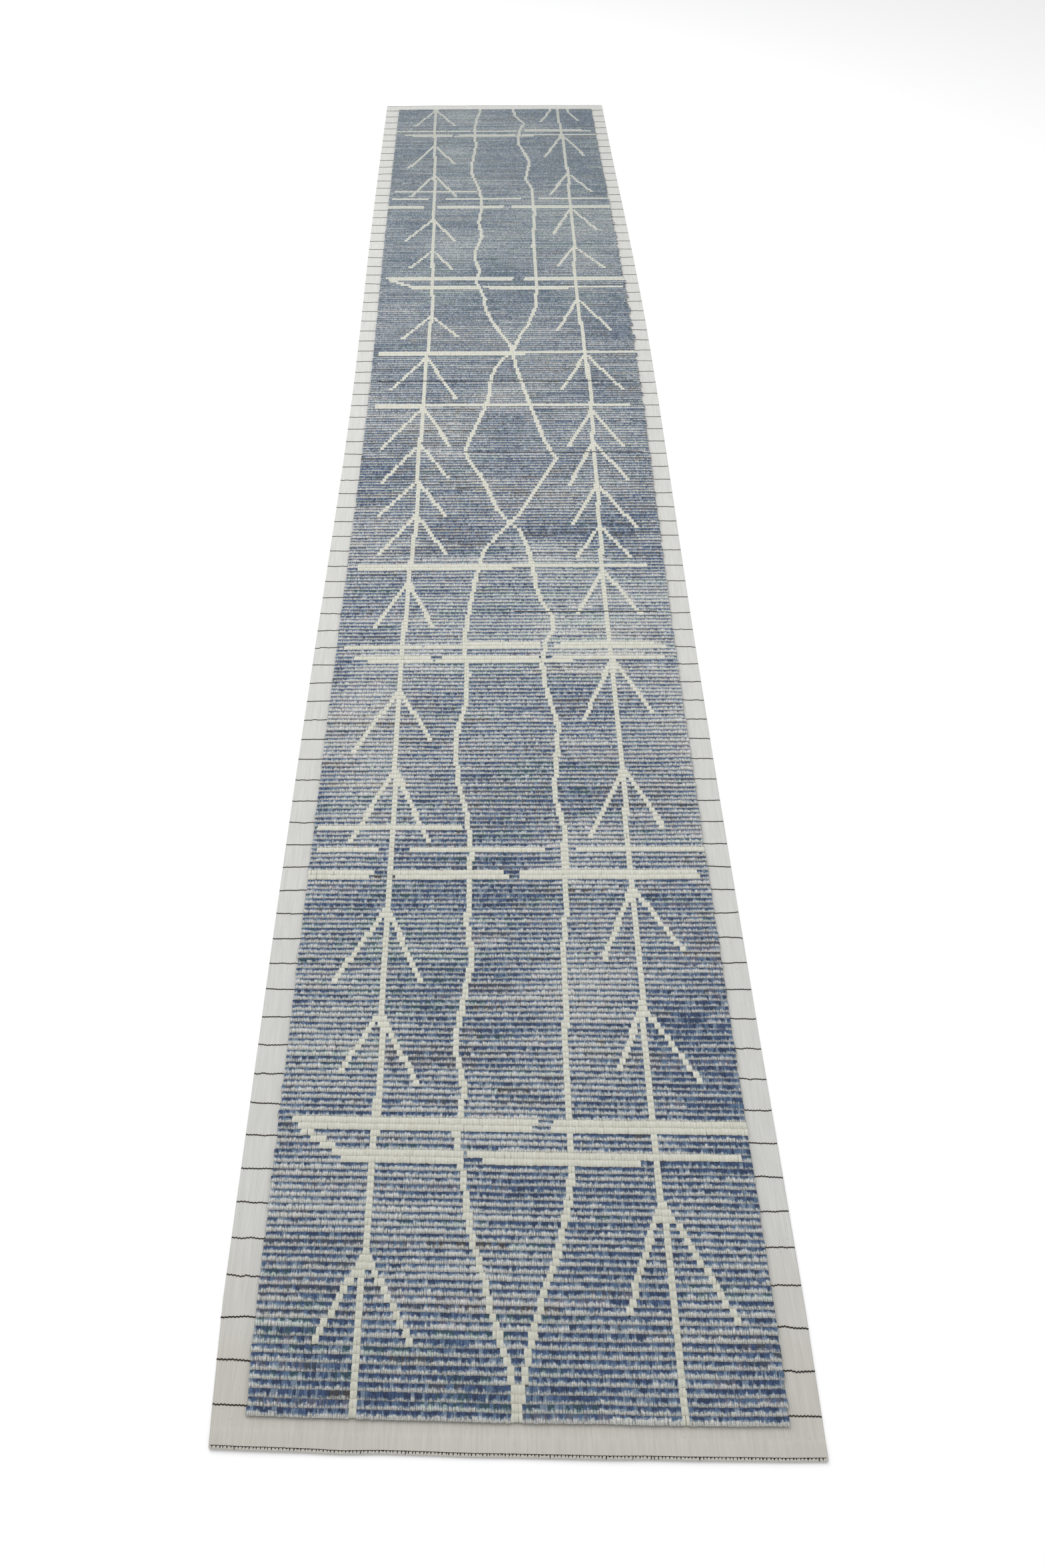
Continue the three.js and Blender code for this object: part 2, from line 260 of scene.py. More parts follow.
class Wool:
    """A wool material with a few helpers to wire its nodes."""

    def __init__(self, name, roughness=0.92, sheen=0.12):
        self.material = bpy.data.materials.new(name)
        self.material.use_nodes = True
        self.tree = self.material.node_tree
        self.shader = self.tree.nodes["Principled BSDF"]
        self.shader.inputs["Roughness"].default_value = roughness
        self.shader.inputs["Sheen Weight"].default_value = sheen
        self.shader.inputs["Sheen Roughness"].default_value = 0.6
        self.shader.inputs["Specular IOR Level"].default_value = 0.2

    def feed(self, value, socket):
        if isinstance(value, bpy.types.NodeSocket):
            self.tree.links.new(value, socket)
        else:
            socket.default_value = value

    def math(self, operation, a, b=0.0, clamp=False):
        node = self.tree.nodes.new("ShaderNodeMath")
        node.operation = operation
        node.use_clamp = clamp
        self.feed(a, node.inputs[0])
        self.feed(b, node.inputs[1])
        return node.outputs[0]

    def yarn_map(self):
        node = self.tree.nodes.new("ShaderNodeUVMap")
        node.uv_map = YARN_MAP
        split = self.tree.nodes.new("ShaderNodeSeparateXYZ")
        self.tree.links.new(node.outputs[0], split.inputs[0])
        return split.outputs[0], split.outputs[1]

    def place(self, scale):
        """Object coordinates, in metres, stretched by scale on each axis."""
        where = self.tree.nodes.new("ShaderNodeTexCoord")
        mapping = self.tree.nodes.new("ShaderNodeMapping")
        mapping.inputs["Scale"].default_value = scale
        self.tree.links.new(where.outputs["Object"], mapping.inputs["Vector"])
        return mapping.outputs[0]

    def noise(self, scale, detail=2.0, stretch=(1, 1, 1)):
        node = self.tree.nodes.new("ShaderNodeTexNoise")
        node.inputs["Scale"].default_value = scale
        node.inputs["Detail"].default_value = detail
        self.tree.links.new(self.place(stretch), node.inputs["Vector"])
        return node.outputs["Fac"]

    def ramp(self, value, stops):
        node = self.tree.nodes.new("ShaderNodeValToRGB")
        elements = node.color_ramp.elements
        while len(elements) < len(stops):
            elements.new(0.5)
        for element, (at, colour) in zip(elements, stops):
            element.position = max(at, 0.0)
            element.color = (*colour, 1)
        self.feed(value, node.inputs[0])
        return node.outputs[0]

    def mix(self, factor, a, b, kind="MIX"):
        node = self.tree.nodes.new("ShaderNodeMix")
        node.data_type = "RGBA"
        node.blend_type = kind
        self.feed(factor, node.inputs["Factor"])
        for value, socket in ((a, node.inputs[6]), (b, node.inputs[7])):
            self.feed(value if isinstance(value, bpy.types.NodeSocket) else (*value, 1), socket)
        return node.outputs[2]

    def step(self, value, low, high):
        """0 below low, 1 above high and a smooth step between them."""
        node = self.tree.nodes.new("ShaderNodeMapRange")
        node.interpolation_type = "SMOOTHSTEP"
        node.inputs["From Min"].default_value = low
        node.inputs["From Max"].default_value = high
        self.feed(value, node.inputs["Value"])
        return node.outputs[0]

    def by_number(self, share, colours):
        """One colour for each equal step of share from 0 to 1."""
        colour = self.ramp(share, [((n - 0.5) / len(colours), c) for n, c in enumerate(colours)])
        colour.node.color_ramp.interpolation = "CONSTANT"
        return colour

    def from_near(self):
        """The distance from the rug's near end, in metres."""
        split = self.tree.nodes.new("ShaderNodeSeparateXYZ")
        self.tree.links.new(self.place((1, 1, 1)), split.inputs[0])
        return self.math("ADD", split.outputs[1], LENGTH / 2)

    def rough(self, value, low, high):
        self.tree.links.new(
            self.math("ADD", self.math("MULTIPLY", value, high - low), low),
            self.shader.inputs["Roughness"],
        )

    def fuzz(self, scale):
        """The loose fibres of a yarn, in its roughness and its bump."""
        self.rough(self.noise(scale / 2), 0.82, 1.0)
        self.bump(self.noise(scale, 2, (1.6, 0.5, 1)), 0.3 * MM, 0.5)

    def colour(self, value):
        self.tree.links.new(value, self.shader.inputs["Base Color"])

    def bump(self, height, distance, strength=1.0):
        node = self.tree.nodes.new("ShaderNodeBump")
        node.inputs["Distance"].default_value = distance
        node.inputs["Strength"].default_value = strength
        self.tree.links.new(height, node.inputs["Height"])
        self.tree.links.new(node.outputs[0], self.shader.inputs["Normal"])


# The dye baths: each yarn's colour where it is dyed through, where the dye runs out, and at its tip
BATHS = [
    ((0.023, 0.039, 0.088), (0.100, 0.152, 0.232), (0.560, 0.565, 0.530)),  # navy
    ((0.038, 0.067, 0.144), (0.134, 0.194, 0.282), (0.570, 0.575, 0.545)),  # deep indigo
    ((0.074, 0.122, 0.208), (0.198, 0.264, 0.342), (0.580, 0.585, 0.560)),  # mid indigo
    ((0.145, 0.196, 0.268), (0.290, 0.340, 0.385), (0.600, 0.600, 0.580)),  # pale indigo
    ((0.046, 0.058, 0.085), (0.164, 0.187, 0.220), (0.570, 0.565, 0.535)),  # slate
    ((0.028, 0.064, 0.090), (0.145, 0.218, 0.246), (0.540, 0.585, 0.545)),  # blue-green
    ((0.086, 0.098, 0.148), (0.250, 0.262, 0.312), (0.610, 0.595, 0.585)),  # lavender grey
    ((0.046, 0.046, 0.052), (0.156, 0.154, 0.154), (0.550, 0.535, 0.490)),  # brown-grey
]
BATH_MARGIN = 0.08  # kept free at both ends of a bath's stretch of the yarn map

# The shares of the baths in each kind of hand-mixed lot
LOTS = np.array(
    [
        (0.34, 0.36, 0.20, 0.10, 0.00, 0.00, 0.00, 0.00),  # indigo
        (0.18, 0.08, 0.10, 0.02, 0.50, 0.00, 0.12, 0.00),  # slate
        (0.08, 0.22, 0.08, 0.12, 0.00, 0.50, 0.00, 0.00),  # blue-green
        (0.04, 0.12, 0.26, 0.12, 0.10, 0.00, 0.36, 0.00),  # lavender
        (0.12, 0.06, 0.06, 0.00, 0.30, 0.00, 0.06, 0.40),  # brown
    ]
)
# and how common each kind of lot is, at distances in metres from the near end
LOTS_AT = np.array([0, 1.5, 2.4, 3.3, 4.6])
LOT_SHARES = np.array(
    [
        (0.77, 0.08, 0.09, 0.05, 0.01),
        (0.62, 0.10, 0.09, 0.18, 0.01),
        (0.42, 0.20, 0.08, 0.24, 0.06),
        (0.50, 0.18, 0.16, 0.14, 0.02),
        (0.34, 0.18, 0.34, 0.10, 0.04),
    ]
)
# How far along the yarn the dye runs out to ivory, at distances in metres from the near end
PALING_AT = [0, 0.5, 1.3, 2.6, 4.6]
PALING = [0.55, 0.55, 0.47, 0.53, 0.65]


def indigo_wool():
    wool = Wool("indigo_pile_wool", sheen=0.10)
    reach, place = wool.yarn_map()
    stretch = wool.math("MULTIPLY", place, len(BATHS))
    number = wool.math("DIVIDE", wool.math("FLOOR", stretch), len(BATHS))
    inside = wool.math("SUBTRACT", wool.math("FRACT", stretch), BATH_MARGIN)
    along = wool.math("DIVIDE", inside, 1 - 2 * BATH_MARGIN)
    sooner = wool.math("MULTIPLY", wool.math("SUBTRACT", 0.5, reach), 0.8)
    patchy = wool.math("MULTIPLY", wool.math("SUBTRACT", wool.noise(320, 2), 0.5), 0.52)
    fade = wool.math("ADD", wool.math("ADD", along, sooner), patchy)
    dyed, running_out, tip = (wool.by_number(number, colours) for colours in zip(*BATHS))
    colour = wool.mix(wool.step(fade, 0.38, 0.58), dyed, running_out)
    colour = wool.mix(wool.step(fade, 0.50, 0.74), colour, tip)
    # Fibre mottling, partly painted glints: its lighter flecks stand for light caught by the fibre tips.
    fibres = wool.ramp(wool.noise(800, 3), [(0.3, (0.76, 0.76, 0.78)), (0.7, (1.22, 1.22, 1.20))])
    colour = wool.mix(1.0, colour, fibres, "MULTIPLY")
    # Painted haze and sheen: the pile is greyed towards the far end, where it is seen at a low, grazing
    # angle.
    painted_far_haze = wool.math("MULTIPLY", wool.step(wool.from_near(), 1.4, 4.2), 0.45)
    wool.colour(wool.mix(painted_far_haze, colour, (0.228, 0.272, 0.290)))
    wool.fuzz(700)
    return wool.material


def ivory_wool():
    wool = Wool("ivory_pile_wool")
    shade, along = wool.yarn_map()
    # Darker and tan at the root end, in the seam between rows: partly the base showing through, partly
    # painted shade in the seam.
    root_to_tip = wool.ramp(
        along,
        [
            (0.0, (0.49, 0.47, 0.40)),
            (0.15, (0.54, 0.53, 0.47)),
            (0.35, (0.585, 0.585, 0.530)),
            (1.0, (0.590, 0.590, 0.535)),
        ],
    )
    warm = wool.mix(shade, (0.93, 0.92, 0.88), (1.06, 1.06, 1.06))
    colour = wool.mix(1.0, root_to_tip, warm, "MULTIPLY")
    fibres = wool.ramp(wool.noise(600, 4), [(0.3, (0.84, 0.84, 0.82)), (0.7, (1.10, 1.10, 1.10))])
    colour = wool.mix(1.0, colour, fibres, "MULTIPLY")
    share = wool.math("DIVIDE", wool.from_near(), LENGTH)
    # Darker at the near end, and darker and bluer towards the far end.
    end_tone = wool.ramp(
        share,
        [(0.0, (0.90, 0.90, 0.88)), (0.12, (1, 1, 1)), (0.6, (1, 1, 1)), (1.0, (0.74, 0.77, 0.80))],
    )
    wool.colour(wool.mix(1.0, colour, end_tone, "MULTIPLY"))
    wool.fuzz(600)
    return wool.material


def ground_wool():
    wool = Wool("ground_wool", sheen=0.08)
    streaks = wool.noise(260, 2, (1, 0.06, 1))
    across = wool.yarn_map()[0]
    turns = 2 * math.pi * WIDTH / RIB_PITCH / RIB_SHARE
    ribs = wool.math("COSINE", wool.math("MULTIPLY", across, turns))
    patches = wool.math("MULTIPLY", wool.noise(5.0, 4), 0.5)
    # Darker and warmer at the near end, lighter from 0.45 m on, with soft random patches.
    tone = wool.math("ADD", wool.step(wool.from_near(), 0.0, 0.45), patches)
    colour = wool.ramp(tone, [(0.2, (0.505, 0.488, 0.448)), (1.1, (0.568, 0.566, 0.550))])
    streaked = wool.ramp(streaks, [(0.3, (0.94, 0.94, 0.93)), (0.7, (1.05, 1.05, 1.05))])
    colour = wool.mix(1.0, colour, streaked, "MULTIPLY")
    # Painted shade: the valleys between the warp ribs are darkened, in step with the ribs of the mesh.
    painted_rib_shade = wool.ramp(ribs, [(0.0, (0.94, 0.94, 0.93)), (0.8, (1.01, 1.01, 1.01))])
    colour = wool.mix(1.0, colour, painted_rib_shade, "MULTIPLY")
    flecks = wool.ramp(wool.noise(420, 1), [(0.77, (0, 0, 0)), (0.82, (1, 1, 1))])
    colour = wool.mix(flecks, colour, (0.20, 0.17, 0.13))
    wool.colour(colour)
    wool.bump(wool.noise(700, 2, (0.5, 1.6, 1)), 0.25 * MM, 0.6)
    wool.rough(wool.noise(300), 0.86, 0.98)
    return wool.material


def dark_thread():
    wool = Wool("dark_thread", roughness=0.85, sheen=0.05)
    shade = wool.yarn_map()[0]
    wool.colour(wool.mix(shade, (0.014, 0.010, 0.010), (0.046, 0.032, 0.026)))
    wool.fuzz(900)
    return wool.material


INDIGO = indigo_wool()
IVORY = ivory_wool()
GROUND = ground_wool()
THREAD = dark_thread()


# ---------------------------------------------------------------- the ground


def rounded(t):
    """The quarter circle that a rounded edge rises by as t goes from 0 to 1."""
    return np.sqrt(np.clip(1 - (1 - np.clip(t, 0, 1)) ** 2, 0, 1))


def ground_height(from_end):
    """Height of the top of the sheet, by the distance from the nearer end. The hem lies double."""
    ramp = ease((HEM_DEPTH + HEM_RAMP - from_end) / HEM_RAMP)
    roll = rounded(from_end / (HEM_TOP / 2))
    top = GROUND_TOP + (HEM_TOP - GROUND_TOP) * ramp
    return HEM_TOP / 2 + (top - HEM_TOP / 2) * roll


def ground_bottom(from_end):
    """Height of the underside, which curls up where the fold turns."""
    return HEM_TOP / 2 * (1 - rounded(from_end / (HEM_TOP / 2)))


def rib(x):
    """Height of the warp ribs above the valleys between them."""
    return RIB_HEIGHT * (0.5 + 0.5 * np.cos(2 * math.pi * x / RIB_PITCH))


def make_ground():
    """The flat-woven sheet, ribbed along its length, with both ends turned under."""
    ribs = round(WIDTH / RIB_PITCH)
    xs = np.linspace(-WIDTH / 2, WIDTH / 2, 3 * ribs + 1)
    hem = np.array([0, 0.15, 0.5, 1.1, 2, 4, 10, 20, 22, 24, 26, 28]) * MM
    middle = np.linspace(45 * MM, LENGTH - 45 * MM, 34)
    from_near = np.concatenate([hem, middle, LENGTH - hem[::-1]])
    x, d = np.meshgrid(xs, from_near)
    from_end = np.minimum(d, LENGTH - d)
    corner = np.clip(1 - from_end / CORNER_RADIUS, 0, 1)
    x = x * (1 - (1 - np.sqrt(1 - corner * corner)) * CORNER_RADIUS / (WIDTH / 2))
    side_roll = rounded((WIDTH / 2 - np.abs(x)) / (GROUND_TOP / 2))
    middle_z = np.where(from_end < HEM_DEPTH, HEM_TOP, GROUND_TOP) / 2
    ribbed = rib(x) * np.clip(from_end / (2 * MM), 0, 1)
    top = middle_z + (ground_height(from_end) + ribbed - middle_z) * side_roll
    low = middle_z + (ground_bottom(from_end) + ribbed - middle_z) * side_roll
    y = d - LENGTH / 2
    sheet_top = np.stack([x, y, top], axis=-1)
    sheet_low = np.stack([x, y, low], axis=-1)
    rows, columns = x.shape
    count = rows * columns
    index = np.arange(count).reshape(rows, columns)
    a, b = index[:-1, :-1], index[:-1, 1:]
    c, e = index[1:, 1:], index[1:, :-1]
    upper = np.stack([a, b, c, e], axis=-1).reshape(-1, 4)
    lower = np.stack([a, e, c, b], axis=-1).reshape(-1, 4) + count
    rim = np.concatenate([index[0, :], index[1:, -1], index[-1, -2::-1], index[-2:0:-1, 0]])
    after = np.roll(rim, -1)
    wall = np.stack([after, rim, rim + count, after + count], axis=-1)
    points = np.concatenate([sheet_top.reshape(-1, 3), sheet_low.reshape(-1, 3)])
    across = RIB_SHARE * (points[:, 0] / WIDTH + 0.5)
    across[count:] += 1 - RIB_SHARE
    uv = np.stack([across, 0.01 + 0.98 * (points[:, 1] / LENGTH + 0.5)], axis=1)
    faces = np.concatenate([upper, lower, wall])
    piece = add_piece("ground_sheet", lie(points), faces, GROUND, uv)
    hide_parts("ground_weave")
    return piece


# ---------------------------------------------------------------- threads


def tubes(paths, radius, sides=4, flatten=1.0):
    """Closed tubes along paths, an array of threads x points x 3 that run mostly along X."""
    threads, steps, _ = paths.shape
    angle = np.arange(sides) * 2 * math.pi / sides + math.pi / sides
    ring = np.stack([angle * 0, np.cos(angle), np.sin(angle) * flatten], axis=1) * radius
    body = paths[:, :, None, :] + ring[None, None]
    points = body.reshape(threads, steps * sides, 3)
    faces = []
    for s in range(steps - 1):
        for k in range(sides):
            m = (k + 1) % sides
            faces.append([s * sides + k, s * sides + m, (s + 1) * sides + m, (s + 1) * sides + k])
    faces.append(list(range(sides))[::-1])
    faces.append([(steps - 1) * sides + k for k in range(sides)])
    shade = RNG.uniform(0.1, 0.9, threads)
    u = shade[:, None] + np.tile(np.linspace(-0.02, 0.02, sides), steps)[None]
    v = np.repeat(np.linspace(0.05, 0.95, steps), sides)[None] + u * 0
    uv = np.stack([u, v], axis=-1)
    return repeat(points, np.array(faces), uv, threads)


def row_top(row):
    """y of the far side of a row of knots. Row 0 is at the near end, and the rows widen slowly."""
    share = (np.asarray(row) + 1) / ROWS
    return FIELD_NEAR + (FIELD_FAR - FIELD_NEAR) * (share * (1 - ROW_SPREAD) + share**2 * ROW_SPREAD)


# Wefts that climb over the pile for a stretch, by number from the near end, and where
WEFTS_OVER_PILE = {30: (0.02, 0.33), 41: (-0.10, 0.34), 47: (-0.34, 0.34)}


def make_dark_wefts():
    """The dark wefts, one at every fifth row, which show as fine crooked lines in both borders."""
    wefts = (ROWS - 1) // ROWS_PER_WEFT + 1
    border = np.arange(-WIDTH / 2 + 0.6 * MM, FIELD_LEFT + 3 * MM, RIB_PITCH / 2)
    middle = np.arange(FIELD_LEFT + 8 * MM, -FIELD_LEFT - 8 * MM, 12 * MM)
    x = np.concatenate([border, middle, -border[::-1]])
    in_border = np.abs(x) > -FIELD_LEFT - 4 * MM
    crook = np.sin(2 * math.pi * x / KNOT) * in_border
    paths = []
    for number in range(wefts):
        y = row_top(number * ROWS_PER_WEFT) + np.where(in_border, 0.3, -1.6) * MM
        drift = np.interp(x, np.linspace(-WIDTH / 2, WIDTH / 2, 120), RNG.normal(0, 0.5, 120)) * MM
        slack = 1.2 * MM * RNG.normal() * np.exp(-(WIDTH / 2 - np.abs(x)) / (14 * MM))
        z = GROUND_TOP + (rib(x) + 0.15 * MM + 0.12 * MM * crook) * in_border
        if number in WEFTS_OVER_PILE:
            start, stop = WEFTS_OVER_PILE[number]
            over = (x > start) & (x < stop)
            z = np.where(over, CREST - 0.2 * MM, z)
            y = np.where(over, row_top(number * ROWS_PER_WEFT) + 0.3 * MM, y)
        paths.append(np.stack([x, y + (drift + slack) * in_border + WEFT_CROOK * crook, z], axis=1))
    points, faces, uv = tubes(np.array(paths), WEFT_RADIUS, flatten=0.7)
    return add_piece("dark_wefts", lie(points), faces, THREAD, uv)


def make_overcast(name, node, end):
    """The dark stitches over one end: a thread along the fold, and slanting stitches round it."""
    low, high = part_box(node)
    x = np.arange(low.x + 0.5 * MM, high.x, FOLD_LINE_STEP)
    y = end * (LENGTH / 2 - FOLD_LINE) + RNG.normal(0, 0.10, len(x)) * MM
    z = HEM_TOP + 0.35 * MM + x * 0
    line = np.stack([x, y, z], axis=1)[None]
    points, faces, uv = tubes(line, FOLD_LINE_RADIUS)
    stitch_points, stitch_faces, stitch_uv = [points], [faces], [uv]
    offset = len(points)
    for at in np.arange(low.x + 4 * MM, high.x - 2 * MM, STITCH_SPACING):
        at += RNG.normal(0, 0.25) * MM
        reach = RNG.choice(STITCH_REACHES, p=STITCH_REACH_SHARES) * MM
        half = RNG.uniform(1.3, 1.8) * MM
        steps = np.linspace(0, 1, 6)
        out = steps * reach
        from_end = np.clip(FOLD_LINE - out, 0.05 * MM, None)
        skin = ground_height(from_end) + 0.18 * MM
        lean = -0.25 * half * steps
        wide = half * (1 - steps) ** 0.7 + 0.10 * MM
        yy = end * (LENGTH / 2 - FOLD_LINE + out)
        left = np.stack([at + lean - wide, yy, skin], axis=1)
        right = np.stack([at + lean + wide, yy, skin], axis=1)
        crown = np.stack([at + lean, yy, skin + 0.38 * MM * (1 - 0.5 * steps)], axis=1)
        under = np.stack([at + lean, yy, skin - 0.25 * MM], axis=1)
        unit = np.stack([left, crown, right, under], axis=1).reshape(-1, 3)
        quads = []
        for s in range(len(steps) - 1):
            for k in range(4):
                m = (k + 1) % 4
                quads.append([s * 4 + k, s * 4 + m, (s + 1) * 4 + m, (s + 1) * 4 + k])
        quads.append([3, 2, 1, 0])
        quads.append([(len(steps) - 1) * 4 + k for k in range(4)])
        quads = np.array(quads)
        if end < 0:
            quads = quads[:, ::-1]
        shade = RNG.uniform(0.0, 0.5)
        uvs = np.stack(
            [shade + np.tile([0, 0.01, 0.02, 0.01], len(steps)), np.repeat(0.1 + 0.8 * steps, 4)], axis=1
        )
        stitch_points.append(unit)
        stitch_faces.append(quads + offset)
        stitch_uv.append(uvs)
        offset += len(unit)
    piece = add_piece(
        name,
        lie(np.concatenate(stitch_points)),
        np.concatenate(stitch_faces),
        THREAD,
        np.concatenate(stitch_uv),
    )
    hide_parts(node)
    return piece


# ---------------------------------------------------------------- the pile


def knot_nodes():
    """For each row and each knot across it, the number of the CAD node that the knot belongs to."""
    points, polygons, owners = [], [], []
    for number, name in enumerate(PILE_NODES):
        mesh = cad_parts[name].data
        base = len(points)
        points.extend(v.co.copy() for v in mesh.vertices)
        for polygon in mesh.polygons:
            polygons.append([base + i for i in polygon.vertices])
            owners.append(number)
    tree = BVHTree.FromPolygons(points, polygons)
    found = np.zeros((ROWS, KNOTS_ACROSS), int)
    above = cad_high.z + 0.01
    for row in range(ROWS):
        y = (row_top(row) + row_top(row - 1)) / 2
        y += np.mean(wave_at(np.linspace(FIELD_LEFT, FIELD_RIGHT, 30), np.full(30, y)))
        y += drawn_beyond(y)
        for k in range(KNOTS_ACROSS):
            spot = Vector((FIELD_LEFT + (k + 0.5) * KNOT, y, above))
            hit = tree.ray_cast(spot, Vector((0, 0, -1)))[2]
            if hit is None:
                hit = tree.find_nearest(Vector((spot.x, spot.y, CREST)))[2]
            found[row, k] = owners[hit]
    return found


def dye_lots(knots):
    """How far each knot's dye reaches, and its kind of lot: short runs on broad, soft patches."""
    reach = np.zeros((ROWS, knots))
    lot = np.zeros((ROWS, knots), int)
    x = FIELD_LEFT + (np.arange(knots) + 0.5) * KNOT
    y = row_top(np.arange(ROWS))
    gx, gy = np.meshgrid(x, y)
    patches = np.array([smooth_field(4, 24, 21 + kind)(gx, gy) for kind in range(len(LOTS))])
    for row in range(ROWS):
        common = np.array([np.interp(y[row] + LENGTH / 2, LOTS_AT, kind) for kind in LOT_SHARES.T])
        k = 0
        whole_row = RNG.normal(0, 0.04)
        while k < knots:
            run = int(np.clip(RNG.gamma(1.5, 12), 2, 70))
            reach[row, k : k + run] = whole_row + RNG.normal(0, 0.06)
            shares = common * np.exp(1.1 * patches[:, row, k])
            lot[row, k : k + run] = RNG.choice(len(shares), p=shares / sum(shares))
            k += run
    broad = 0.08 * smooth_field(6, 40, 11)(gx, gy) + 0.055 * smooth_field(3, 14, 12)(gx, gy)
    paling = np.interp(gy + LENGTH / 2, PALING_AT, PALING)
    return paling + reach + broad, lot


def row_places(rows, knots):
    """Centre x, far side y and row depth of some knots."""
    x = FIELD_LEFT + (knots + 0.5) * KNOT
    x = x + ROW_ENDS[0][rows] * np.exp(-knots / 3)
    x = x + ROW_ENDS[1][rows] * np.exp((knots - KNOTS_ACROSS) / 3)
    top = row_top(rows)
    return x, top, top - row_top(rows - 1)


def pick_baths(lot):
    """A bath for each strand of each knot: some strands take their knot's own pick."""
    own = RNG.random((len(lot), STRANDS))
    shared = RNG.random((len(lot), 1))
    draw = np.where(RNG.random(own.shape) < SAME_BATH, shared, own)
    return (np.cumsum(LOTS, axis=1)[lot][:, None, :-1] < draw[:, :, None]).sum(axis=2).ravel()


def indigo_tufts(rows, knots, reach, lot):
    """Cut pile: strands that rise at the row's far side, bend over and lie towards the near end."""
    count = len(rows) * STRANDS
    x, top, pitch = (np.repeat(a, STRANDS) for a in row_places(rows, knots))
    strand = np.tile(np.arange(STRANDS), len(rows))
    x = x + ((strand + 0.5) / STRANDS - 0.5) * KNOT + RNG.normal(0, 0.25, count) * MM
    back = top - 0.7 * MM + np.repeat(RNG.normal(0, 0.3, len(rows)), STRANDS) * MM
    back = back + RNG.normal(0, 0.2, count) * MM
    crest = CREST + RNG.normal(0, 0.18, count) * MM
    tip = TIP_HEIGHT + RNG.normal(0, 0.3, count) * MM
    splay = RNG.normal(0, 0.5, count) * MM
    end = top - pitch * RNG.normal(1.16, 0.03, count)
    half = STRAND_WIDTH / 2 * RNG.uniform(0.85, 1.25, count)

    def ring(dx, y, z, wide, back_off, drop):
        """Three corners of a strand: left, right and ridge."""
        left = np.stack([x + dx - half * wide, y - back_off, z - drop], axis=1)
        right = np.stack([x + dx + half * wide, y - back_off, z - drop], axis=1)
        return [left, right, np.stack([x + dx, y, z + 0 * x], axis=1)]

    base = GROUND_TOP - 0.2 * MM + 0 * x
    corners = ring(0, back, base, 1, 0.9 * MM, 0)
    corners += ring(0.3 * splay, back - 1.3 * MM, crest, 1, 0.3 * MM, 0.28 * MM)
    corners += ring(splay, end, tip, 1.15, 0, 0.25 * MM)
    points = np.stack(corners, axis=1)
    faces = [[0, 2, 1], [6, 7, 8]]
    for low in (0, 3):
        for a, b in ((0, 1), (1, 2), (2, 0)):
            faces.append([low + a, low + b, low + b + 3])
            faces.append([low + a, low + b + 3, low + a + 3])
    own = np.repeat(RNG.normal(0, 0.05, len(rows)), STRANDS) + RNG.normal(0, 0.035, count)
    shade = np.clip(np.repeat(reach, STRANDS) + own, 0.03, 0.97)
    bath = pick_baths(lot)
    # The crest's ridge is dyed a little further than its sides: painted shade along each row's far edge.
    along = np.array([0, 0, 0, 0.30, 0.30, 0.26, 1.0, 1.0, 1.0])
    side = np.array([-1, 1, 0] * 3) * 0.012
    v = (bath[:, None] + BATH_MARGIN + (1 - 2 * BATH_MARGIN) * along[None]) / len(BATHS)
    uv = np.stack([shade[:, None] + side[None], v], axis=-1)
    return points, np.array(faces), uv


# An ivory knot's cross-section, in shares of its half width and thickness
KNOT_SECTION = [(1, -0.2), (0.93, 0.72), (0.5, 0.95), (-0.5, 0.95), (-0.93, 0.72), (-1, -0.2), (0, -1)]
# and its rings: share of the row from its far side, height, width share, tilt
KNOT_RINGS = [
    (0.08, 3.2 * MM, 0.90, 90),
    (0.12, 6.5 * MM, 0.97, 60),
    (0.40, 7.0 * MM, 1.0, 5),
    (1.04, 6.3 * MM, 0.98, 6),
]


def ivory_tufts(rows, knots):
    """The drawing's knots: plump blunt tufts that fill their row from its far to its near side."""
    count = len(rows)
    x, top, pitch = row_places(rows, knots)
    x = x + RNG.normal(0, 0.2, count) * MM
    top = top + RNG.normal(0, 0.3, count) * MM
    half = IVORY_HALF_WIDTH + RNG.normal(0, 0.12, count) * MM
    lean = RNG.normal(0, 0.25, count) * MM
    rise = RNG.normal(0, 0.15, count) * MM
    section = np.array(KNOT_SECTION)
    sides = len(section)
    spots = [np.stack([x, top - 0.10 * pitch, 0 * x + GROUND_TOP], axis=1)[:, None]]
    for share, height, wide, tilt in KNOT_RINGS:
        out = section[:, 1] * IVORY_THICKNESS * wide
        px = (x + lean * share)[:, None] + section[None, :, 0] * half[:, None] * wide
        py = (top - share * pitch)[:, None] + out[None] * math.sin(math.radians(tilt))
        pz = height + (rise * share)[:, None] + out[None] * math.cos(math.radians(tilt))
        spots.append(np.stack([px, py, pz], axis=-1))
    spots.append(np.stack([x + lean, top - 1.12 * pitch, rise + 6.0 * MM], axis=1)[:, None])
    points = np.concatenate(spots, axis=1)
    faces = []
    last = 1 + len(KNOT_RINGS) * sides
    for k in range(sides):
        m = (k + 1) % sides
        faces.append([0, 1 + k, 1 + m])
        for s in range(len(KNOT_RINGS) - 1):
            a, b = 1 + s * sides + k, 1 + s * sides + m
            faces.append([a, a + sides, b + sides])
            faces.append([a, b + sides, b])
        faces.append([last - sides + k, last, last - sides + m])
    shade = np.clip(RNG.normal(0.5, 0.22, count), 0.05, 0.95)
    along = np.concatenate([[0.02], np.repeat([0.06, 0.3, 0.6, 0.92], sides), [0.98]])
    spread = np.linspace(-1, 1, sides) * 0.015
    side = np.concatenate([[0], np.tile(spread, len(KNOT_RINGS)), [0]])
    uv = np.stack([shade[:, None] + side[None], along[None] + shade[:, None] * 0], axis=-1)
    return points, np.array(faces), uv


# How far each row's first and last knots stray from the pile's sides
ROW_ENDS = RNG.normal(0, 0.6 * MM, (2, ROWS))


